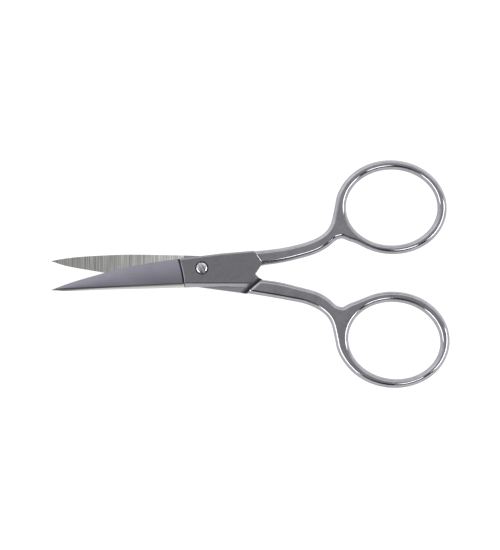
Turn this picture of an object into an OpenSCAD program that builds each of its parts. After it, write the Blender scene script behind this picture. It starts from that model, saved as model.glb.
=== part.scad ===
// Thread snips: two forged stainless halves that cross at a pivot screw.
// The origin is on the pivot axis, in the plane that the snips lie on.
// Blades point to -X, finger rings to +X.
// They are drawn a little open. The rear half lies on the table and the front half lies on it.

/* [Joint] */
// Thickness of each half where the two cross
plate_t = 1.4; // [1.2:0.1:1.6]
// Free play between the two halves
play = 0.03; // [0.02:0.01:0.06]
// Width of the bevel along the front joint plate's upper edge
plate_bevel = 0.5; // [0.3:0.1:0.8]
// Drop of the front joint plate's bevels per millimetre of width
bevel_slope = 1.25; // [1:0.05:1.25]

/* [Blades] */
// Thickness of a blade at its heel
heel_t = 1.2; // [0.9:0.1:1.3]
// Thickness of a blade at its point
tip_t = 0.3; // [0.2:0.05:0.5]
// Flat left along the cutting edge
edge_t = 0.08; // [0.05:0.01:0.15]
// Width of the bevel along a blade's spine
spine_bevel = 0.6; // [0.3:0.1:0.9]

/* [Handles] */
// Thickness of the shanks and finger rings
handle_t = 3.0; // [3:0.1:3.4]
// How far each finger ring swells where its shank joins it
ring_swell = 1.8; // [1.4:0.1:2]
// Half-length of the finger holes
hole_a = 11.7; // [11.4:0.1:12]
// Half-width of the finger holes
hole_b = 9.8; // [9.4:0.1:9.8]

/* [Pivot screw] */
// Diameter of the screw's head
head_d = 2.9; // [2.6:0.1:3]
// Diameter of the plain part that the front half turns on
pin_d = 2.0; // [1.8:0.1:2.2]
// Radial running clearance of the front half on the pin
pin_play = 0.03; // [0.02:0.01:0.06]
// How far the head's crown stands above the front half
head_rise = 0.35; // [0.25:0.05:0.45]
// Width of the driver slot
slot_w = 0.8; // [0.4:0.1:1]
// Direction of the driver slot, in degrees from +X
slot_angle = 120; // [0:1:180]

/* [Hidden] */

front_z = plate_t + play;            // inner face of the front half
top_z = front_z + plate_t;           // outer face of the front joint plate
recess_d = head_d + 0.4;             // recess that the screw's head sits in
recess_depth = 0.5;
peen_d = pin_d + 0.7;                // the screw's tail is peened into a countersink
peen_depth = 0.35;
tail_sunk = 0.1;                     // the tail ends this far inside the rear half's face
blade_steps = 28;
shank_steps = 15;
ring_steps = 64;
swell_narrowness = 14;               // how fast a ring's swelling fades away from its shank
nothing = 0.01;

// Outlines in plan, each from the joint outwards. A blade lies between its edge and its spine.
front_edge = [[-5.5, 2.5], [-10.5, 1.85], [-15.7, 1], [-20.8, 0],
              [-25.9, -1.4], [-31, -2.85], [-35, -4.15], [-38.5, -5.5]];
front_spine = [[-4.4, -4.9], [-9.5, -5.05], [-15, -5.2], [-20.8, -5.35],
               [-26, -5.5], [-31, -5.7], [-35, -5.8], [-38.5, -5.65]];
rear_edge = [[-5.5, -4.05], [-10.5, -3.35], [-15.5, -2.6], [-20.7, -1.8],
             [-25.9, -0.9], [-31, -0.05], [-35, 0.75], [-38.5, 1.85]];
rear_spine = [[-4.6, 3.4], [-9.5, 3.5], [-15, 3.6], [-20, 3.6],
              [-26, 3.35], [-31, 3.05], [-35, 2.6], [-38.5, 2]];

// A shank lies between its lower and its upper outline, and runs on into the ring.
front_low = [[15.7, 0.8], [20.1, 1.4], [24.7, 2.45], [29.3, 3.85],
             [32.4, 5.6], [34.7, 7.45], [37.2, 8.2]];
front_high = [[13.2, 4.5], [18, 5], [22.5, 5.75], [27, 6.95],
              [30.6, 8.65], [32.6, 11.3], [34.6, 15.6]];
rear_low = [[11.5, -6.4], [17, -7.3], [22, -8.2], [26.5, -9.15],
            [30.3, -10.95], [32.8, -13.7], [34.8, -18.5]];
rear_high = [[15.5, -2.85], [20.1, -3.5], [24.7, -4.65], [29.3, -5.9],
             [32.2, -7.5], [34.6, -9.75], [37.3, -10.9]];

// Joint plates. Each meets its shank on the line between the first points of the shank's two outlines.
front_plate_crest = [5, 3.8];        // the highest point of its upper edge
front_plate = concat([front_spine[0], [6, -4.6]], round_corner([11.9, -4.35], 0.6, -85, -25),
                     [[13.7, -1.4], [15.1, 0.7], front_low[0], front_high[0], front_plate_crest, front_edge[0]]);
lower_bevel_y = -3.87;               // the face ends here, and the bevel widens towards the blade
rear_plate = concat([rear_edge[0], [3.5, -5.35], rear_low[0], rear_high[0], [14.5, -2.3], [13.6, -1.3]],
                    round_corner([11.9, 2.3], 0.6, 25, 85), [[6, 3], rear_spine[0]]);

// Finger rings: hole centre, hole tilt, rim centre, rim half-length and half-width, rim tilt,
// and the direction of the shank
front_ring = [[48.65, 15.8], 0, [48.65, 15.9], [14.2, 12.25], -3, 203];
rear_ring = [[49.05, -18.45], -7, [48.85, -18.25], [14.4, 12.4], -3, 158];

// Curves

// Points of an arc that rounds a corner, about a centre set back from it
function round_corner(corner, r, from, to) =
    [for (a = [from : (to - from) / 4 : to]) corner - [r, 0] + r * [cos(a), sin(a)]];

// A smooth curve through the points p, at u from 0 to 1
function along(p, u) =
    let (s = u * (len(p) - 1), i = min(floor(s), len(p) - 2), t = s - i,
         a = i > 0 ? p[i - 1] : 2 * p[0] - p[1], b = p[i], c = p[i + 1],
         d = i < len(p) - 2 ? p[i + 2] : 2 * c - b)
    b + t / 2 * ((c - a) + t * ((2 * a - 5 * b + 4 * c - d) + t * (3 * (b - c) + d - a)));

function turned(p, angle) = [p.x * cos(angle) - p.y * sin(angle), p.x * sin(angle) + p.y * cos(angle)];

function oval(centre, half, tilt, angle) = centre + turned([half.x * cos(angle), half.y * sin(angle)], tilt);

// A ring's rim, which swells towards its shank
function rim(ring, angle) =
    let (swell = ring_swell * exp(swell_narrowness * (cos(angle - ring[5]) - 1)))
    oval(ring[2], ring[3] + [swell, swell], ring[4], angle);

// Solids from sections

// A solid through sections that have the same number of points.
// A closed one joins its last section to its first.
module loft(sections, closed = false) {
    n = len(sections);
    m = len(sections[0]);
    sides = [for (i = [0 : n - (closed ? 1 : 2)], j = [0 : m - 1])
                let (next = (i + 1) % n, a = i * m + j, b = i * m + (j + 1) % m,
                     c = next * m + (j + 1) % m, d = next * m + j)
                each [[a, c, b], [a, d, c]]];
    ends = closed ? [] : [[for (j = [0 : m - 1]) j], [for (j = [m - 1 : -1 : 0]) (n - 1) * m + j]];
    polyhedron(points = [for (s = sections) each s], faces = concat(sides, ends));
}

// A handle's section on the line from a to b: flat above, below and at the sides, with eased corners
function handle_section(a, b) =
    let (corner = [[0.5, 0.2], [0.4, 0.39], [0.24, 0.5]])
    [for (q = [[1, 1], [-1, 1], [-1, -1], [1, -1]], k = [0 : 2])
        let (c = corner[q.x * q.y > 0 ? k : 2 - k])
        [each (a + b) / 2 + q.x * c.x * (b - a), handle_t / 2 + q.y * c.y * handle_t]];

// A blade's section, from its cutting edge to its spine, above its inner face
function blade_section(edge, spine, t) =
    let (w = norm(spine - edge), bevel = min(spine_bevel, 0.4 * w) / w,
         outer = [[0, 0], [0, edge_t], [0.25 * (1 - bevel), 0.42 * t], [0.5 * (1 - bevel), 0.72 * t],
                  [0.75 * (1 - bevel), 0.91 * t], [1 - bevel, t], [1, 0.4 * t], [1, 0]])
    [for (q = outer) [each edge + q.x * (spine - edge), q.y]];

function blade_t(u) = heel_t + (tip_t - heel_t) * pow(u, 1.4);

// Pieces

// A blade, built from its heel or from its point, whichever turns its faces outwards
module blade(edge, spine, from_point = false) {
    sections = [for (i = [0 : blade_steps]) let (u = abs((from_point ? 1 : 0) - i / blade_steps))
                   blade_section(along(edge, u), along(spine, u), blade_t(u))];
    loft(sections);
}

// Cuts a bevel that starts on the line from a to b and falls away to its right
module bevel_cut(a, b) {
    reach = 2;
    translate([a.x, a.y, plate_t])
        rotate([90, 0, atan2(b.y - a.y, b.x - a.x) - 90])
            translate([0, 0, -norm(b - a) - 1])
                linear_extrude(norm(b - a) + 2)
                    polygon([[-nothing, nothing], [0, 0], [reach, -reach * bevel_slope], [reach, nothing]]);
}

module front_joint_plate_solid() {
    inset = [0, -plate_bevel];
    difference() {
        linear_extrude(plate_t) polygon(front_plate);
        bevel_cut([front_spine[0].x, lower_bevel_y], [12, lower_bevel_y]);
        bevel_cut(front_high[0] + inset, front_plate_crest + inset);
        bevel_cut(front_plate_crest + inset, front_edge[0] + inset);
        cylinder(d = pin_d + 2 * pin_play, h = 3 * plate_t, center = true, $fn = 48);
        translate([0, 0, plate_t - recess_depth]) cylinder(d = recess_d, h = plate_t, $fn = 48);
    }
}

module rear_joint_plate_solid() {
    difference() {
        linear_extrude(plate_t) polygon(rear_plate);
        cylinder(d = pin_d, h = 3 * plate_t, center = true, $fn = 48);
        translate([0, 0, plate_t - peen_depth]) cylinder(d1 = pin_d, d2 = peen_d, h = peen_depth, $fn = 48);
    }
}

module finger_ring(ring) {
    sections = [for (i = [0 : ring_steps - 1]) let (angle = -360 * i / ring_steps)
                   handle_section(oval(ring[0], [hole_a, hole_b], ring[1], angle - ring[1] + ring[4]),
                                       rim(ring, angle))];
    loft(sections, closed = true);
}

// A shank, up to the ring it joins
module shank(low, high, ring) {
    sections = [for (i = [0 : shank_steps]) let (u = i / shank_steps)
                   handle_section(along(low, u), along(high, u))];
    difference() {
        loft(sections);
        finger_ring(ring);
    }
}

// The front half's pieces stand on the rear half, and the rear half's face down
module in_front() translate([0, 0, front_z]) children();
module in_rear() translate([0, 0, plate_t]) mirror([0, 0, 1]) children();

module front_blade() { color("lightslategray") in_front() blade(front_edge, front_spine, from_point = true); }
module front_joint_plate() { color("dimgray") in_front() front_joint_plate_solid(); }
module front_shank() { color("silver") shank(front_low, front_high, front_ring); }
module front_finger_ring() { color("silver") finger_ring(front_ring); }
module rear_blade() { color("darkgray") in_rear() blade(rear_edge, rear_spine); }
module rear_joint_plate() { color("dimgray") in_rear() rear_joint_plate_solid(); }
module rear_shank() { color("silver") shank(rear_low, rear_high, rear_ring); }
module rear_finger_ring() { color("silver") finger_ring(rear_ring); }

// Slotted raised head, plain pin through the front half, tail peened over in the rear half
module pivot_screw() {
    head_z = top_z - recess_depth + play;
    side = top_z + 0.05 - head_z;
    crown = head_rise - 0.05;
    crown_r = (pow(head_d / 2, 2) + pow(crown, 2)) / (2 * crown);
    color("gainsboro") difference() {
        union() {
            translate([0, 0, tail_sunk])
                cylinder(d1 = peen_d - (peen_d - pin_d) * tail_sunk / peen_depth, d2 = pin_d,
                         h = peen_depth - tail_sunk, $fn = 48);
            translate([0, 0, peen_depth]) cylinder(d = pin_d, h = head_z - peen_depth, $fn = 48);
            translate([0, 0, head_z]) cylinder(d = head_d, h = side, $fn = 48);
            intersection() {
                translate([0, 0, head_z + side + crown - crown_r]) sphere(r = crown_r, $fn = 96);
                translate([0, 0, head_z + side]) cylinder(d = head_d, h = crown, $fn = 48);
            }
        }
        translate([0, 0, top_z + head_rise])
            rotate(slot_angle) cube([2 * head_d, slot_w, 0.8], center = true);
    }
}

rear_blade();
rear_joint_plate();
rear_shank();
rear_finger_ring();
pivot_screw();
front_blade();
front_joint_plate();
front_shank();
front_finger_ring();
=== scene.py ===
import math

import bmesh
import bpy
from mathutils import Matrix, Vector


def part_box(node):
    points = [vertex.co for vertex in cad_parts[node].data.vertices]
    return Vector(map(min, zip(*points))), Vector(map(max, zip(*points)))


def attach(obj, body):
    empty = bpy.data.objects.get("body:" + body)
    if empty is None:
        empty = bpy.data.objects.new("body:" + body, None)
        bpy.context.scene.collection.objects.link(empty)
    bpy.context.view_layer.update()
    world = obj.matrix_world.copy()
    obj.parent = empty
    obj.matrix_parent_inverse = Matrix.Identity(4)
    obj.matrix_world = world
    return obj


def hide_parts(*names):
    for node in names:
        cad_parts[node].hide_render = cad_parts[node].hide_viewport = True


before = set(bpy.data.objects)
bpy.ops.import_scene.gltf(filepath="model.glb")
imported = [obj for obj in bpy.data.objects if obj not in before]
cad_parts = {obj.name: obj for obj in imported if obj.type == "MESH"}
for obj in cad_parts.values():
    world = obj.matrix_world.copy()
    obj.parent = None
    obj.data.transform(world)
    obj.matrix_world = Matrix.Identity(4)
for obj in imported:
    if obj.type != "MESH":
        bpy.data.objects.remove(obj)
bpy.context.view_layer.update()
mm = 0.001
print("frame loaded")


class Signal:
    # a shader socket that can be used in a sum or a product
    def __init__(self, finish, socket):
        self.finish = finish
        self.socket = socket

    def __add__(self, other):
        return self.finish.maths("ADD", self, other)

    def __radd__(self, other):
        return self.finish.maths("ADD", other, self)

    def __sub__(self, other):
        return self.finish.maths("SUBTRACT", self, other)

    def __rsub__(self, other):
        return self.finish.maths("SUBTRACT", other, self)

    def __mul__(self, other):
        return self.finish.maths("MULTIPLY", self, other)

    def __rmul__(self, other):
        return self.finish.maths("MULTIPLY", other, self)

    def __truediv__(self, other):
        return self.finish.maths("DIVIDE", self, other)


class Finish:
    # one steel finish: a Principled shader and the nodes that feed it
    def __init__(self, name, tree=None):
        if tree is None:
            self.material = bpy.data.materials.new(name)
            self.material.use_nodes = True
            tree = self.material.node_tree
            self.shader = tree.nodes["Principled BSDF"]
            self.shader.inputs["Metallic"].default_value = 1
        self.tree = tree

    def node(self, kind, settings=None, sockets=None, output=0):
        made = self.tree.nodes.new(kind)
        for key, value in (settings or {}).items():
            if key == "stops":
                while len(made.color_ramp.elements) < len(value):
                    made.color_ramp.elements.new(0.5)
                for stop, (place, shade) in zip(made.color_ramp.elements, value):
                    stop.position = place
                    stop.color = (*shade, 1) if isinstance(shade, tuple) else (shade, shade, shade, 1)
            else:
                setattr(made, key, value)
        for key, value in (sockets or {}).items():
            if isinstance(value, Signal):
                self.tree.links.new(value.socket, made.inputs[key])
            else:
                made.inputs[key].default_value = value
        return Signal(self, made.outputs[output])

    def maths(self, operation, first, second):
        return self.node("ShaderNodeMath", {"operation": operation}, {0: first, 1: second})

    def feed(self, socket, signal):
        self.tree.links.new(signal.socket, self.shader.inputs[socket])

    def vectorMaths(self, operation, first, second, output=0):
        return self.node("ShaderNodeVectorMath", {"operation": operation}, {0: first, 1: second}, output)

    def position(self):
        # object coordinates, in metres
        return self.node("ShaderNodeTexCoord", output=3)

    def flatPosition(self):
        return self.vectorMaths("MULTIPLY", self.position(), (1, 1, 0))

    def split(self, vector):
        # the X, Y and Z of a vector
        return [self.node("ShaderNodeSeparateXYZ", {}, {0: vector}, axis) for axis in range(3)]

    def place(self, scale=(1, 1, 1), turn=0):
        # object coordinates, turned about Z by that many degrees and then stretched
        turned = self.node("ShaderNodeMapping", {},
                           {"Vector": self.position(), "Rotation": (0, 0, math.radians(turn))})
        return self.node("ShaderNodeMapping", {}, {"Vector": turned, "Scale": scale})

    def noise(self, vector, scale, detail, roughness):
        return self.node("ShaderNodeTexNoise", {},
                         {"Vector": vector, "Scale": scale, "Detail": detail, "Roughness": roughness})

    def tint(self, factor, dark, light):
        # each colour is a tuple or the signal of another tint
        dark, light = (shade if isinstance(shade, Signal) else (*shade, 1) for shade in (dark, light))
        return self.node("ShaderNodeMix", {"data_type": "RGBA"}, {0: factor, 6: dark, 7: light}, output=2)

    def absolute(self, signal):
        return self.maths("ABSOLUTE", signal, 0)

    def clamp(self, signal):
        return self.node("ShaderNodeClamp", {}, {"Value": signal})

    def inGrooveShade(self, peak=1.7):
        # 1 in the painted shade in the front half's shoulder groove, 0 away from it
        centre = Vector((*shoulder["frontCentre"], 0)) * mm
        reach = self.vectorMaths("DISTANCE", self.flatPosition(), centre, 1)
        off = (reach - shoulder["grooveShadeRadius"] * mm) / (shoulder["grooveShadeReach"] * mm)
        return self.clamp(peak - peak * off * off)

    def nearLine(self, distance, place, reach, peak=1.4):
        # 1 where the distance is at place, fading to 0 at reach from it, all in metres;
        # a higher peak leaves a wider part of the line at 1
        return self.clamp(peak - peak * self.absolute((distance - place) / reach))

    def roughen(self, rough, signal):
        # rough is the least roughness and what the signal adds to it
        self.feed("Roughness", rough[0] + rough[1] * signal)

    def relief(self, height, depth, strength, below=None):
        # below is another relief that this one is added to
        sockets = {"Height": height, "Distance": depth, "Strength": strength}
        if below is not None:
            sockets["Normal"] = below
        return self.node("ShaderNodeBump", {}, sockets)


def deselectAll():
    if bpy.context.mode != "OBJECT":
        bpy.ops.object.mode_set(mode="OBJECT")
    bpy.ops.object.select_all(action="DESELECT")


def edit(piece):
    deselectAll()
    piece.select_set(True)
    bpy.context.view_layer.objects.active = piece
    bpy.ops.object.mode_set(mode="EDIT")
    bpy.ops.mesh.select_mode(type="VERT")


def pick(piece, kind, test):
    # selects the verts, edges or faces that pass the test
    mesh = bmesh.from_edit_mesh(piece.data)
    for part in [*mesh.verts, *mesh.edges, *mesh.faces]:
        part.select = False
    for part in getattr(mesh, kind):
        if test(part):
            part.select_set(True)
    bmesh.update_edit_mesh(piece.data)


def putSelected(piece, placeOf):
    # moves each selected vertex to where placeOf says
    mesh = bmesh.from_edit_mesh(piece.data)
    for vert in mesh.verts:
        if vert.select:
            vert.co = placeOf(vert.co.copy())
    bmesh.update_edit_mesh(piece.data)


def addModifier(piece, kind, **settings):
    deselectAll()
    piece.select_set(True)
    bpy.context.view_layer.objects.active = piece
    modifier = piece.modifiers.new(kind, kind)
    for key, value in settings.items():
        setattr(modifier, key, value)
    bpy.ops.object.modifier_apply(modifier=modifier.name)


def finishPiece(piece, finish, body, nodes, smoothAngle=30):
    deselectAll()
    piece.select_set(True)
    bpy.context.view_layer.objects.active = piece
    bpy.ops.object.shade_smooth_by_angle(angle=math.radians(smoothAngle))
    piece.data.materials.clear()
    piece.data.materials.append(finish.material)
    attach(piece, body)
    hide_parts(*nodes)
    print(piece.name, len(piece.data.polygons), "faces")


def along(points, u):
    # a smooth curve through the points, at u from 0 to 1
    s = u * (len(points) - 1)
    i = max(0, min(int(math.floor(s)), len(points) - 2))
    t = s - i
    b, c = Vector(points[i]), Vector(points[i + 1])
    a = Vector(points[i - 1]) if i > 0 else 2 * b - c
    d = Vector(points[i + 2]) if i < len(points) - 2 else 2 * c - b
    return b + t / 2 * ((c - a) + t * ((2 * a - 5 * b + 4 * c - d) + t * (3 * (b - c) + d - a)))


def smoothStep(low, high, value):
    t = max(0.0, min(1.0, (value - low) / (high - low)))
    return t * t * (3 - 2 * t)


frontHandle = {
    # the outlines start inside the joint plate, reach its edge at their second points, and end at the ring;
    # joins and fade are in degrees round the ring, everything else in mm
    "body": "front_half", "nodes": ["front_shank", "front_finger_ring"],
    "low": [(11.3, 0.25), (15.7, 0.8), (20.1, 1.4), (24.7, 2.45), (29.3, 3.85), (32.4, 5.6), (34.4, 7.3)],
    "high": [(10.6, 4.2), (13.2, 4.5), (18, 5), (22.5, 5.75), (27, 6.95), (30.6, 8.65), (32.85, 11.3)],
    "hole": {"centre": (48.65, 15.8), "half": (11.7, 9.8), "tilt": 0},
    "rim": {"centre": (48.65, 15.9), "half": (14.2, 12.25), "tilt": -3},
    "joins": (219.375, 180.0), "joinSwell": (1.55, 0.35), "fade": (9, 20),
}
rearHandle = {
    "body": "rear_half", "nodes": ["rear_shank", "rear_finger_ring"],
    "low": [(9, -6.0), (11.5, -6.4), (17, -7.3), (22, -8.2), (26.5, -9.15), (30.3, -10.95), (32.8, -13.7)],
    "high": [(10, -2.3), (15.5, -2.85), (20.1, -3.5), (24.7, -4.65), (29.3, -5.9),
             (32.2, -7.5), (34.4, -9.45)],
    "hole": {"centre": (49.05, -18.45), "half": (11.7, 9.8), "tilt": -7},
    "rim": {"centre": (48.85, -18.25), "half": (14.4, 12.4), "tilt": -3},
    "joins": (185.625, 146.25), "joinSwell": (0.45, 1.4), "fade": (20, 12),
}
shoulder = {
    # the grinding wheel's round groove between a blade and its joint plate, in mm
    "radius": 30, "frontCentre": (-34.36, -7.0), "rearCentre": (-34.5, 5.4),
    "grooveRadius": 0.42, "bite": 0.12,
    # radius and reach of the painted shade in the groove
    "grooveShadeRadius": 29.9, "grooveShadeReach": 0.32, "steps": (288, 20),
}
screw = {
    # in mm; crown is how far each ring of the head's top stands in from its side and down from its top
    "headRadius": 1.45, "pinRadius": 1.0, "tailRadius": 1.25, "tailHeight": 0.25,
    "headSunk": 0.47, "underEdge": 0.04,
    "crown": [(0, 0.42), (0.05, 0.33), (0.15, 0.22), (0.29, 0.13), (0.47, 0.06)],
    # the middle of the head, by share of its radius and by drop from its top
    "dome": [(0.5, 0.02), (0.25, 0.004), (0, 0)],
    "slotWidth": 0.8, "slotDepth": 0.4, "slotAngle": 120, "cutterLength": 6, "cutterHeight": 1,
    "edgeBevel": 0.03, "edgeAngle": 40, "mergeWithin": 0.001, "steps": 72,
}

groundLook = {
    # lines per metre along x, y and z, and the weight of each set of lines
    "fine": (7000, 60, 60), "fineWeight": 4.0, "coarse": (3000, 30, 30), "coarseWeight": 2.4,
    # painted sheen: the steel is painted brighter from the point to the heel, in place of the light its
    # hollow grind catches; point and heel both in metres along x
    "point": -0.036, "heel": -0.006, "dark": (0.19, 0.195, 0.19), "light": (0.82, 0.83, 0.805),
    "streakLight": 0.5, "heelPaintedSheen": 0.5, "leastLight": 0.04,
    "rough": (0.30, 0.18), "relief": (0.02 * mm, 0.5),
}


def crosswiseGround():
    # inner face of a blade: ground across, so that fine lines run from edge to spine
    look = groundLook
    finish = Finish("crosswise ground steel")
    lines = finish.noise(finish.place(look["fine"]), 1, 1, 0.5)
    coarse = finish.noise(finish.place(look["coarse"]), 1, 2, 0.7)
    x = finish.split(finish.position())[0]
    toHeel = finish.clamp((x - look["point"]) / (look["heel"] - look["point"]))
    streaks = finish.clamp((lines - 0.5) * look["fineWeight"] + (coarse - 0.5) * look["coarseWeight"] + 0.5)
    # the colour is the ground streaks plus a painted sheen that grows towards the heel
    light = finish.clamp(look["streakLight"] * streaks + look["heelPaintedSheen"] * toHeel * toHeel
                         + look["leastLight"])
    finish.feed("Base Color", finish.tint(light, look["dark"], look["light"]))
    finish.roughen(look["rough"], streaks)
    finish.feed("Normal", finish.relief(streaks, *look["relief"]))
    return finish


satinLook = {
    "grain": (260, 2200, 900), "grainTurn": 8, "grainWeight": 0.35, "cloud": 120, "cloudWeight": 0.65,
    # bevel is the colour of the painted reflection along the spine's bevel
    "dark": (0.02, 0.02, 0.03), "light": (0.32, 0.317, 0.37), "bevel": (0.50, 0.495, 0.47),
    # a painted dark line along the spine's bevel, standing in for the dark it reflects, at y = bevelStart +
    # bevelSlope * x, in mm
    "bevelStart": -3.75, "bevelSlope": 0.042, "lineReach": 0.2, "linePaintedShade": 0.55,
    # the bevel is painted bright, a painted reflection of the white table, this far from the line, in mm
    "bevelFrom": -0.15, "bevelSoft": 0.1,
    "groovePaintedShade": 0.95, "rough": (0.26, 0.10), "relief": (0.006 * mm, 0.4),
}


def satin():
    # outer face of a blade: satin, polished along the blade
    look = satinLook
    finish = Finish("satin steel")
    grain = finish.noise(finish.place(look["grain"], look["grainTurn"]), 1, 3, 0.6)
    cloud = finish.noise(finish.place(), look["cloud"], 2, 0.5)
    mixed = finish.clamp(look["grainWeight"] * grain + look["cloudWeight"] * cloud)
    # the narrow bevel along the spine is painted bright as a painted reflection, with a painted dark line
    # above it
    x, y = finish.split(finish.position())[:2]
    aboveBevel = y - look["bevelSlope"] * x - look["bevelStart"] * mm
    bevelLine = finish.nearLine(aboveBevel, 0, look["lineReach"] * mm)
    bevelFace = finish.clamp((look["bevelFrom"] * mm - aboveBevel) / (look["bevelSoft"] * mm))
    # painted shade in the groove and along the bevel line
    unshadedShare = (1 - look["groovePaintedShade"] * finish.inGrooveShade()) * (1 - look["linePaintedShade"] * bevelLine)
    steel = finish.tint((0.5 + 0.5 * mixed) * unshadedShare, look["dark"], look["light"])
    # the bevel gets the painted reflection colour
    finish.feed("Base Color", finish.tint(bevelFace, steel, look["bevel"]))
    finish.roughen(look["rough"], cloud)
    finish.feed("Normal", finish.relief(grain, *look["relief"]))
    return finish


plateLook = {
    "grain": (500, 2600, 900), "grainTurn": -35, "speck": 2600,
    "dark": (0.02, 0.02, 0.02), "light": (0.50, 0.487, 0.525), "frontDarker": 0.36,
    # painted shade, in mm: a dark ring round the screw's head, a dark line along the lower bevel, a dark band
    # along the rear shank's shoulder
    "headRing": (1.56, 0.2), "bevelLine": (-3.85, 0.18), "shoulderShadeReach": 0.9,
    # how dark each of them is; the band along the rear shank fades out at its peak times its reach
    "groovePaintedShade": 0.95, "headPaintedShade": 0.9, "linePaintedShade": 0.7, "shoulderPaintedShade": 0.9, "shoulderShadePeak": 1.8,
    # where the lower bevel begins, and the height that parts the rear plate from the front one, in mm
    "bevelFrom": -4.0, "bevelSoft": 0.1, "between": 1.5, "betweenSoft": 0.05,
    "rough": (0.28, 0.14), "relief": (0.01 * mm, 0.4),
}


def brushedPlate():
    look = plateLook
    finish = Finish("brushed plate steel")
    grain = finish.noise(finish.place(look["grain"], look["grainTurn"]), 1, 3, 0.65)
    speck = finish.noise(finish.place(), look["speck"], 2, 0.7)
    mixed = finish.clamp(0.5 * grain + 0.5 * speck)
    place = finish.position()
    y, z = finish.split(place)[1:]
    front = finish.clamp((z - look["between"] * mm) / (look["betweenSoft"] * mm))
    fromPin = finish.vectorMaths("LENGTH", finish.flatPosition(), (0, 0, 0), 1)
    # painted shade in the gap round the screw's head
    aroundHead = finish.nearLine(fromPin, *(size * mm for size in look["headRing"]))
    # a painted shadow line along the front plate's lower bevel, where it sits on the rear plate
    bevelLine = finish.nearLine(y, *(size * mm for size in look["bevelLine"])) * front
    # the lower bevel, where a painted reflection of the white table goes
    bevelFace = finish.clamp((look["bevelFrom"] * mm - y) / (look["bevelSoft"] * mm))
    # painted shade: the rear plate is painted darker along its shank's shoulder, beside the step
    (ax, ay), (bx, by) = rearHandle["low"][1], rearHandle["high"][1]
    line = Vector((bx - ax, by - ay, 0)).normalized()
    away = finish.vectorMaths("SUBTRACT", place, Vector((ax, ay, 0)) * mm)
    fromShoulder = finish.vectorMaths("DOT_PRODUCT", away, (-line.y, line.x, 0), 1)
    shoulderShade = finish.clamp(look["shoulderShadePeak"] - fromShoulder / (look["shoulderShadeReach"] * mm)) * (1 - front)
    # the share of the colour left after all the painted shade
    unshadedShare = (1 - look["groovePaintedShade"] * finish.inGrooveShade() * front) * (1 - look["headPaintedShade"] * aroundHead)
    unshadedShare = unshadedShare * (1 - look["shoulderPaintedShade"] * shoulderShade) * (1 - look["linePaintedShade"] * bevelLine)
    # the front plate is a little darker than the rear one, except on its lower bevel, which keeps the lighter
    # tone as a painted reflection
    shade = (0.5 + 0.5 * mixed) * unshadedShare * (1 - look["frontDarker"] * front * (1 - bevelFace))
    finish.feed("Base Color", finish.tint(shade, look["dark"], look["light"]))
    finish.roughen(look["rough"], speck)
    finish.feed("Normal", finish.relief(mixed, *look["relief"]))
    return finish


handleLook = {
    "wave": 300, "wear": 1300, "scratch": (300, 2800, 700), "scratchTurn": 20,
    "dark": (0.06, 0.06, 0.06), "light": (0.46, 0.45, 0.49),
    # painted shade: the sides are painted darker, most at sideHeight, and fade out at sideReach from it, both
    # in mm
    "sideHeight": 1.5, "sideReach": 1.3, "sidePaintedShade": 0.65,
    "wearShine": 0.5, "waveShine": 0.5, "leastShine": 0.35,
    "rough": 0.05, "wearRough": 0.05, "scratchRough": 0.03,
    "waveRelief": (0.03 * mm, 0.25), "scratchRelief": (0.003 * mm, 0.3),
}


def polished():
    # shanks and finger rings: polished on a wheel, then worn by use
    look = handleLook
    finish = Finish("polished handle steel")
    wave = finish.noise(finish.place(), look["wave"], 2, 0.5)
    wear = finish.noise(finish.place(), look["wear"], 4, 0.7)
    scratch = finish.noise(finish.place(look["scratch"], look["scratchTurn"]), 1, 3, 0.7)
    # painted shade: the sides are painted darker than the backs, toning down their reflection
    z = finish.split(finish.position())[2]
    side = finish.clamp(1 - finish.absolute(z - look["sideHeight"] * mm) / (look["sideReach"] * mm))
    worn = look["wearShine"] * wear + look["waveShine"] * wave + look["leastShine"]
    # wear tone times the painted shade on the sides
    wearToneAndSideShade = finish.clamp(worn) * (1 - look["sidePaintedShade"] * side)
    finish.feed("Base Color", finish.tint(wearToneAndSideShade, look["dark"], look["light"]))
    rough = look["rough"] + look["wearRough"] * wear + look["scratchRough"] * scratch
    finish.feed("Roughness", finish.clamp(rough))
    scratches = finish.relief(scratch, *look["scratchRelief"])
    finish.feed("Normal", finish.relief(wave, *look["waveRelief"], scratches))
    return finish


screwLook = {
    "speck": 3000, "speckContrast": 0.3, "dark": (0.04, 0.04, 0.04), "light": (0.76, 0.75, 0.81),
    "slotReach": 0.1, "slotPaintedShade": 0.85, "rough": (0.06, 0.06),
}


def turned():
    look = screwLook
    finish = Finish("turned screw steel")
    speck = finish.noise(finish.place(), look["speck"], 2, 0.6)
    acrossSlot = finish.split(finish.place(turn=-screw["slotAngle"]))[1]
    slotSide = screw["slotWidth"] / 2 * mm
    # painted shade along the slot's sides
    slotSides = finish.nearLine(finish.absolute(acrossSlot), slotSide, look["slotReach"] * mm)
    unshadedShare = 1 - look["slotPaintedShade"] * slotSides
    contrast = look["speckContrast"]
    shade = (1 - contrast + contrast * speck) * unshadedShare
    finish.feed("Base Color", finish.tint(shade, look["dark"], look["light"]))
    finish.roughen(look["rough"], speck)
    return finish


groundSteel, satinSteel, plateSteel = crosswiseGround(), satin(), brushedPlate()
handleSteel, screwSteel = polished(), turned()
print("finishes made")

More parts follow.
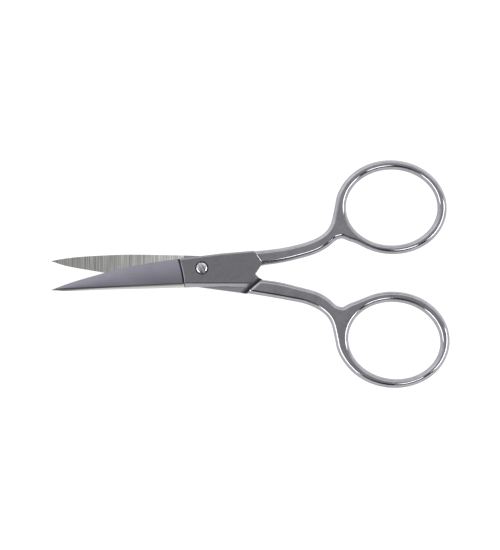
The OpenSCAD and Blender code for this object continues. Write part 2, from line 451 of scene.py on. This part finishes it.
frontBlade = {
    # the outlines run from the heel to the point, in mm; outer is 1 where the rounded face is on top
    "node": "front_blade", "outer": 1,
    "edge": [(-5.5, 2.5), (-10.5, 1.85), (-15.7, 1), (-20.8, 0),
             (-25.9, -1.4), (-31, -2.85), (-35, -4.15), (-38.5, -5.5)],
    "spine": [(-4.4, -4.9), (-9.5, -5.05), (-15, -5.2), (-20.8, -5.35),
              (-26, -5.5), (-31, -5.7), (-35, -5.8), (-38.5, -5.65)],
}
rearBlade = {
    "node": "rear_blade", "outer": -1,
    "edge": [(-5.5, -4.05), (-10.5, -3.35), (-15.5, -2.6), (-20.7, -1.8),
             (-25.9, -0.9), (-31, -0.05), (-35, 0.75), (-38.5, 1.85)],
    "spine": [(-4.6, 3.4), (-9.5, 3.5), (-15, 3.6), (-20, 3.6),
              (-26, 3.35), (-31, 3.05), (-35, 2.6), (-38.5, 2)],
}
bladeShape = {
    # thicknesses, and the width of the bevel along the spine, in mm
    "heelThick": 1.2, "tipThick": 0.3, "edgeThick": 0.08, "spineBevel": 0.6, "extrude": 3,
    # the bevel never takes more than this share of the width
    "mostBevel": 0.4,
    # powers that round the thickness along the blade, the ground face and the bevel
    "taper": 1.4, "faceRound": 1.9, "bevelAcross": 0.8, "bevelDown": 1.25, "bevelDrop": 0.85,
    # rows of the grid, and how many of those across lie on the ground face
    "alongSteps": 64, "acrossSteps": 18, "faceSteps": 14,
}


def blade(name, look):
    shape = bladeShape
    low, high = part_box(look["node"])
    innerZ = low.z if look["outer"] > 0 else high.z
    deselectAll()
    bpy.ops.mesh.primitive_grid_add(x_subdivisions=shape["alongSteps"], y_subdivisions=shape["acrossSteps"],
                                    size=2, location=(0, 0, 0))
    piece = bpy.context.object
    piece.name = name
    edit(piece)
    bpy.ops.mesh.select_all(action="SELECT")

    def outerFace(co):
        # x of the grid runs from the heel to the point, y from the cutting edge to the spine
        u, v = (co.x + 1) / 2, (co.y + 1) / 2
        edge, spine = along(look["edge"], u), along(look["spine"], u)
        thick = shape["heelThick"] + (shape["tipThick"] - shape["heelThick"]) * u ** shape["taper"]
        width = (spine - edge).length
        bevel = min(shape["spineBevel"], shape["mostBevel"] * width) / width
        face = shape["faceSteps"] / shape["acrossSteps"]
        if v <= face:
            across = v / face * (1 - bevel)
            swell = 1 - (1 - v / face) ** shape["faceRound"]
            height = shape["edgeThick"] + (thick - shape["edgeThick"]) * swell
        else:
            down = (v - face) / (1 - face)
            across = 1 - bevel + bevel * down ** shape["bevelAcross"]
            height = thick * (1 - shape["bevelDrop"] * down ** shape["bevelDown"])
        place = edge + (spine - edge) * across
        return Vector((place.x * mm, place.y * mm, innerZ + look["outer"] * height * mm))

    putSelected(piece, outerFace)
    down = -look["outer"] * shape["extrude"] * mm
    bpy.ops.mesh.extrude_region_move(TRANSFORM_OT_translate={"value": (0, 0, down)})
    # the inner face is ground flat
    bpy.ops.transform.resize(value=(1, 1, 0), center_override=(0, 0, innerZ))
    bpy.ops.mesh.select_all(action="SELECT")
    bpy.ops.mesh.normals_make_consistent(inside=False)
    deselectAll()
    return piece


frontBladePiece = blade("front_blade_ground", frontBlade)
rearBladePiece = blade("rear_blade_ground", rearBlade)
print("blades made")

plateShape = {"mergeWithin": 0.002, "edgeBevel": 0.14, "segments": 4, "edgeAngle": 35, "smoothAngle": 5}


def jointPlate(name, node):
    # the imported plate's shape, with its sharp edges broken
    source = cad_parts[node]
    piece = bpy.data.objects.new(name, source.data.copy())
    bpy.context.scene.collection.objects.link(piece)
    edit(piece)
    bpy.ops.mesh.select_all(action="SELECT")
    bpy.ops.mesh.remove_doubles(threshold=plateShape["mergeWithin"] * mm)
    bpy.ops.mesh.dissolve_limited(angle_limit=math.radians(1))
    deselectAll()
    return piece


frontPlatePiece = jointPlate("front_plate_brushed", "front_joint_plate")
rearPlatePiece = jointPlate("rear_plate_brushed", "rear_joint_plate")


def cutShoulder(piece, surfaceZ, centre, outer):
    # outer is 1 for a piece whose outer face is on top, -1 for one whose outer face is underneath
    deselectAll()
    place = (centre[0] * mm, centre[1] * mm, surfaceZ + outer * shoulder["bite"] * mm)
    roundSteps, tubeSteps = shoulder["steps"]
    bpy.ops.mesh.primitive_torus_add(major_radius=shoulder["radius"] * mm, major_segments=roundSteps,
                                     minor_radius=shoulder["grooveRadius"] * mm, minor_segments=tubeSteps,
                                     location=place)
    wheel = bpy.context.object
    addModifier(piece, "BOOLEAN", object=wheel, operation="DIFFERENCE", solver="EXACT")
    bpy.data.objects.remove(wheel)


frontTop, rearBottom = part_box("front_joint_plate")[1].z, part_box("rear_joint_plate")[0].z
for piece in (frontBladePiece, frontPlatePiece):
    cutShoulder(piece, frontTop, shoulder["frontCentre"], 1)
for piece in (rearBladePiece, rearPlatePiece):
    cutShoulder(piece, rearBottom, shoulder["rearCentre"], -1)
for piece in (frontPlatePiece, rearPlatePiece):
    addModifier(piece, "BEVEL", width=plateShape["edgeBevel"] * mm, segments=plateShape["segments"],
                limit_method="ANGLE", angle_limit=math.radians(plateShape["edgeAngle"]))
smooth = plateShape["smoothAngle"]
finishPiece(frontBladePiece, satinSteel, "front_half", ["front_blade"])
finishPiece(rearBladePiece, groundSteel, "rear_half", ["rear_blade"])
finishPiece(frontPlatePiece, plateSteel, "front_half", ["front_joint_plate"], smooth)
finishPiece(rearPlatePiece, plateSteel, "rear_half", ["rear_joint_plate"], smooth)
print("joint plates made")

handleSection = {
    "ringSteps": 64, "shankSteps": 26,
    # inset and rise of each loop, from the middle of the side up to the crown, in mm
    "loops": [(0.16, 0.60), (0.26, 0.42), (0.12, 0.17), (0.13, 0.13),
              (0.18, 0.10), (0.16, 0.05), (0.05, 0.0)],
    # the shank is this share thinner at its sides, up to the part of its length where that fades out
    "crown": 0.12, "crownFade": (0.6, 0.85), "spineSteps": 80,
    # its end is bevelled, and slopes down over the last stretch before the joint plate, in mm
    "endBevel": 0.05, "shoulderEase": 0.35, "shoulderSlope": 0.5,
    "mergeWithin": 0.01, "levels": 2, "smoothAngle": 40,
}


def ovalPoint(oval, angle, grow=0.0):
    a, b = oval["half"][0] + grow, oval["half"][1] + grow
    tilt = math.radians(oval["tilt"])
    x, y = a * math.cos(angle), b * math.sin(angle)
    return Vector((oval["centre"][0] + x * math.cos(tilt) - y * math.sin(tilt),
                   oval["centre"][1] + x * math.sin(tilt) + y * math.cos(tilt)))


def handle(name, look):
    section = handleSection
    zLow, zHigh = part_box(look["nodes"][1])[0].z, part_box(look["nodes"][1])[1].z
    middle, halfThick = (zLow + zHigh) / 2, (zHigh - zLow) / 2
    first, last = look["joins"]

    def swellAt(turn):
        # the ring is widest where its shank joins, and the extra width fades away from there
        (firstSwell, lastSwell), (firstFade, lastFade) = look["joinSwell"], look["fade"]
        pastFirst, pastLast = (turn - first) % 360, (last - turn) % 360
        atFirst = firstSwell * math.exp(-(pastFirst / firstFade) ** 2)
        return atFirst + lastSwell * math.exp(-(pastLast / lastFade) ** 2)

    def rimPoint(angle):
        return ovalPoint(look["rim"], angle, swellAt(math.degrees(angle) % 360))

    def holePlace(co):
        angle = math.atan2(co.y, co.x) + math.radians(look["rim"]["tilt"] - look["hole"]["tilt"])
        point = ovalPoint(look["hole"], angle)
        return Vector((point.x * mm, point.y * mm, 0))

    # the outline runs along the shank's lower edge, round the ring and back along the upper edge
    lowLine = [*look["low"], rimPoint(math.radians(first))]
    highLine = [*look["high"], rimPoint(math.radians(last))]
    alongShank, step = section["shankSteps"], 360 / section["ringSteps"]
    roundRing = round((last + 360 - first) / step) - 1
    outlineSteps = 2 * alongShank + roundRing

    def outlinePlace(co):
        k = round(math.atan2(co.y, co.x) % math.tau / math.tau * outlineSteps) % outlineSteps
        if k < alongShank:
            point = along(lowLine, k / (alongShank - 1))
        elif k < alongShank + roundRing:
            point = rimPoint(math.radians(first + (k - alongShank + 1) * step))
        else:
            point = along(highLine, (outlineSteps - 1 - k) / (alongShank - 1))
        return Vector((point.x * mm, point.y * mm, 0))

    # plan of the forging, flat at half thickness
    deselectAll()
    bpy.ops.mesh.primitive_circle_add(vertices=section["ringSteps"], radius=1, location=(0, 0, 0))
    piece = bpy.context.object
    piece.name = name
    edit(piece)
    bpy.ops.mesh.select_all(action="SELECT")
    putSelected(piece, holePlace)
    bpy.ops.mesh.select_all(action="DESELECT")
    bpy.ops.mesh.primitive_circle_add(vertices=outlineSteps, radius=1, location=(0, 0, 0))
    putSelected(piece, outlinePlace)
    bpy.ops.mesh.select_all(action="SELECT")
    bpy.ops.mesh.fill(use_beauty=True)
    mesh = bmesh.from_edit_mesh(piece.data)
    mesh.faces.ensure_lookup_table()
    bpy.ops.mesh.normals_make_consistent(inside=False)
    if mesh.faces[0].normal.z < 0:
        bpy.ops.mesh.flip_normals()

    # each loop goes in from the outline and up towards the crown
    bpy.ops.mesh.select_mode(type="FACE")
    bpy.ops.mesh.select_all(action="SELECT")
    for inset, rise in section["loops"]:
        bpy.ops.mesh.inset(thickness=inset * mm, use_boundary=True, use_even_offset=True)
        bpy.ops.transform.translate(value=(0, 0, rise * mm))
    deselectAll()
    addModifier(piece, "MIRROR", use_axis=(False, False, True), use_clip=True,
                merge_threshold=section["mergeWithin"] * mm)

    # the shank's back is crowned: thinner at its sides than along its middle
    steps = section["spineSteps"]
    pairs = [(along(lowLine, i / steps), along(highLine, i / steps)) for i in range(steps + 1)]
    middles = [(low + high) / 2 * mm for low, high in pairs]
    halfWidths = [(high - low).length / 2 * mm for low, high in pairs]
    for vert in piece.data.vertices:
        at = Vector((vert.co.x, vert.co.y))
        i = min(range(steps + 1), key=lambda k: (middles[k] - at).length_squared)
        out = min(1.0, (middles[i] - at).length / halfWidths[i])
        vert.co.z *= 1 - section["crown"] * out * out * (1 - smoothStep(*section["crownFade"], i / steps))
        vert.co.z += middle
    addModifier(piece, "SUBSURF", levels=section["levels"], render_levels=section["levels"])

    # the shank is trimmed square where the joint plate ends
    a, b = Vector(look["low"][1]) * mm, Vector(look["high"][1]) * mm
    across = (b - a).normalized()
    end, inward = Vector((a.x, a.y, 0)), Vector((across.y, -across.x, 0))
    edit(piece)
    bpy.ops.mesh.select_all(action="SELECT")
    bpy.ops.mesh.bisect(plane_co=end, plane_no=inward, use_fill=True, clear_inner=True, clear_outer=False)
    bpy.ops.mesh.select_all(action="DESELECT")
    # the cap is the only face with more than a few corners
    pick(piece, "faces", lambda face: len(face.verts) > 8)
    bpy.ops.mesh.bevel(offset=section["endBevel"] * mm, segments=2, affect="EDGES", clamp_overlap=True)
    ease = section["shoulderEase"] * mm

    def easeShoulder(co):
        # the end of the shank slopes down to the joint plate
        toEnd = max(0.0, ease - (co - end).dot(inward))
        height = co.z - middle
        lowered = max(0.0, abs(height) - section["shoulderSlope"] * toEnd)
        return Vector((co.x, co.y, middle + math.copysign(lowered, height)))

    def nearShoulder(vert):
        return (vert.co - end).dot(inward) < ease and abs(vert.co.z - middle) > 0.5 * halfThick

    bpy.ops.mesh.select_mode(type="VERT")
    pick(piece, "verts", nearShoulder)
    putSelected(piece, easeShoulder)
    deselectAll()
    finishPiece(piece, handleSteel, look["body"], look["nodes"], section["smoothAngle"])


handle("front_handle_forging", frontHandle)
handle("rear_handle_forging", rearHandle)
print("handles made")


def pivotScrew():
    # the profile goes from the tail up the pin, out under the head and over its crown
    low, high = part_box("pivot_screw")
    top, bottom = high.z / mm, low.z / mm
    under = frontTop / mm - screw["headSunk"]
    r, pin, edge = screw["headRadius"], screw["pinRadius"], screw["underEdge"]
    profile = [(0, bottom), (screw["tailRadius"], bottom), (pin, bottom + screw["tailHeight"]), (pin, under),
               (r - edge, under), (r, under + edge)]
    profile += [(r - inset, top - drop) for inset, drop in screw["crown"]]
    profile += [(r * share, top - drop) for share, drop in screw["dome"]]
    mesh = bpy.data.meshes.new("pivot_screw_turned")
    edges = [(i, i + 1) for i in range(len(profile) - 1)]
    mesh.from_pydata([(x * mm, 0, z * mm) for x, z in profile], edges, [])
    piece = bpy.data.objects.new("pivot_screw_turned", mesh)
    bpy.context.scene.collection.objects.link(piece)
    edit(piece)
    bpy.ops.mesh.select_all(action="SELECT")
    bpy.ops.mesh.spin(steps=screw["steps"], angle=math.tau, center=(0, 0, 0), axis=(0, 0, 1))
    bpy.ops.mesh.select_all(action="SELECT")
    bpy.ops.mesh.remove_doubles(threshold=screw["mergeWithin"] * mm)
    bpy.ops.mesh.normals_make_consistent(inside=False)
    deselectAll()
    # the screwdriver's slot
    bpy.ops.mesh.primitive_cube_add(size=1, location=(0, 0, 0))
    cutter = bpy.context.object
    cutterSize = Vector((screw["cutterLength"], screw["slotWidth"], screw["cutterHeight"])) * mm
    edit(cutter)
    bpy.ops.mesh.select_all(action="SELECT")
    bpy.ops.transform.resize(value=cutterSize, center_override=(0, 0, 0))
    turn = Matrix.Rotation(math.radians(screw["slotAngle"]), 4, "Z")
    lift = Vector((0, 0, (top - screw["slotDepth"]) * mm + cutterSize.z / 2))
    putSelected(cutter, lambda co: turn @ co + lift)
    addModifier(piece, "BOOLEAN", object=cutter, operation="DIFFERENCE", solver="EXACT")
    bpy.data.objects.remove(cutter)
    addModifier(piece, "BEVEL", width=screw["edgeBevel"] * mm, segments=2, limit_method="ANGLE",
                angle_limit=math.radians(screw["edgeAngle"]))
    finishPiece(piece, screwSteel, "rear_half", ["pivot_screw"])


pivotScrew()
print("pivot screw made")

table = {"size": 3, "drop": 0.02, "grey": 0.25, "roughness": 0.9, "glow": 0.92}   # size in metres, drop in mm

deselectAll()
bpy.ops.mesh.primitive_plane_add(size=table["size"], location=(0, 0, -table["drop"] * mm))
floor = bpy.context.object
floor.name = "floor"
tableFinish = Finish("white table")
for socket, value in {"Metallic": 0, "Base Color": (table["grey"], table["grey"], table["grey"], 1),
                      "Roughness": table["roughness"], "Specular IOR Level": 0,
                      "Emission Color": (1, 1, 1, 1), "Emission Strength": table["glow"]}.items():
    tableFinish.shader.inputs[socket].default_value = value
floor.data.materials.append(tableFinish.material)

studio = {
    # stops of place and brightness, along z + y / 2, y, -x and z
    # dim overhead, dark low at the front, bright at the back and fairly bright at the left
    "over": [(0.0, 0.05), (0.55, 0.07), (0.76, 0.16), (0.88, 0.28), (0.945, 0.36), (1.0, 0.43)],
    "back": [(0.10, 0.0), (0.30, 0.22), (0.60, 0.70), (0.85, 0.8), (1.0, 0.3)],
    "left": [(0.10, 0.0), (0.50, 0.30), (0.90, 0.50)],
    # the white table curves up all round
    "sweep": [(0.0, 1.0), (0.10, 0.85), (0.22, 0.0)],
}
world = bpy.data.worlds.new("studio")
bpy.context.scene.world = world
world.use_nodes = True
sky = Finish("studio", world.node_tree)
x, y, z = sky.split(sky.node("ShaderNodeTexCoord", output=0))


def fade(name, signal):
    return sky.node("ShaderNodeValToRGB", {"stops": studio[name]}, {0: signal})


brightness = fade("over", z + 0.5 * y) + fade("back", y) + fade("left", 0 - x) + fade("sweep", z)
world.node_tree.links.new(brightness.socket, world.node_tree.nodes["Background"].inputs["Color"])

softboxes = {
    # place and size in metres; at radiance 1 a softbox is as bright as white paper in the studio
    "right softbox": {"place": (0.74, -0.12, 0.50), "size": (0.80, 0.42), "radiance": 4.4},
    "left softbox": {"place": (-0.70, -0.34, 0.47), "size": (0.92, 0.42), "radiance": 4.2},
    "front strip": {"place": (0.25, -0.46, 0.72), "size": (0.26, 0.30), "radiance": 3.8},
}
facing = Vector((12, 0, 0)) * mm   # what the softboxes are turned to


def softbox(name, place, size, radiance):
    light = bpy.data.lights.new(name, "AREA")
    light.shape = "RECTANGLE"
    light.size, light.size_y = size
    light.energy = radiance * math.pi * size[0] * size[1]
    lamp = bpy.data.objects.new(name, light)
    bpy.context.scene.collection.objects.link(lamp)
    lamp.location = place
    lamp.rotation_euler = (facing - lamp.location).to_track_quat("-Z", "Y").to_euler()


for name, look in softboxes.items():
    softbox(name, look["place"], look["size"], look["radiance"])

view = {"elevation": 83, "lens": 150, "sensor": 36, "frameHeight": 140.6, "centre": (12.3, -1.66, 1.5)}
camera = bpy.data.objects.new("camera", bpy.data.cameras.new("camera"))
bpy.context.scene.collection.objects.link(camera)
camera.data.lens = view["lens"]
camera.data.sensor_width = view["sensor"]
camera.data.clip_start = 0.01
distance = view["lens"] / view["sensor"] * view["frameHeight"] * mm
elevation = math.radians(view["elevation"])
target = Vector(view["centre"]) * mm
camera.location = target + distance * Vector((0, -math.cos(elevation), math.sin(elevation)))
camera.rotation_euler = (math.radians(90) - elevation, 0, 0)
bpy.context.scene.camera = camera
bpy.context.scene.view_settings.view_transform = "Standard"
print("stage set")
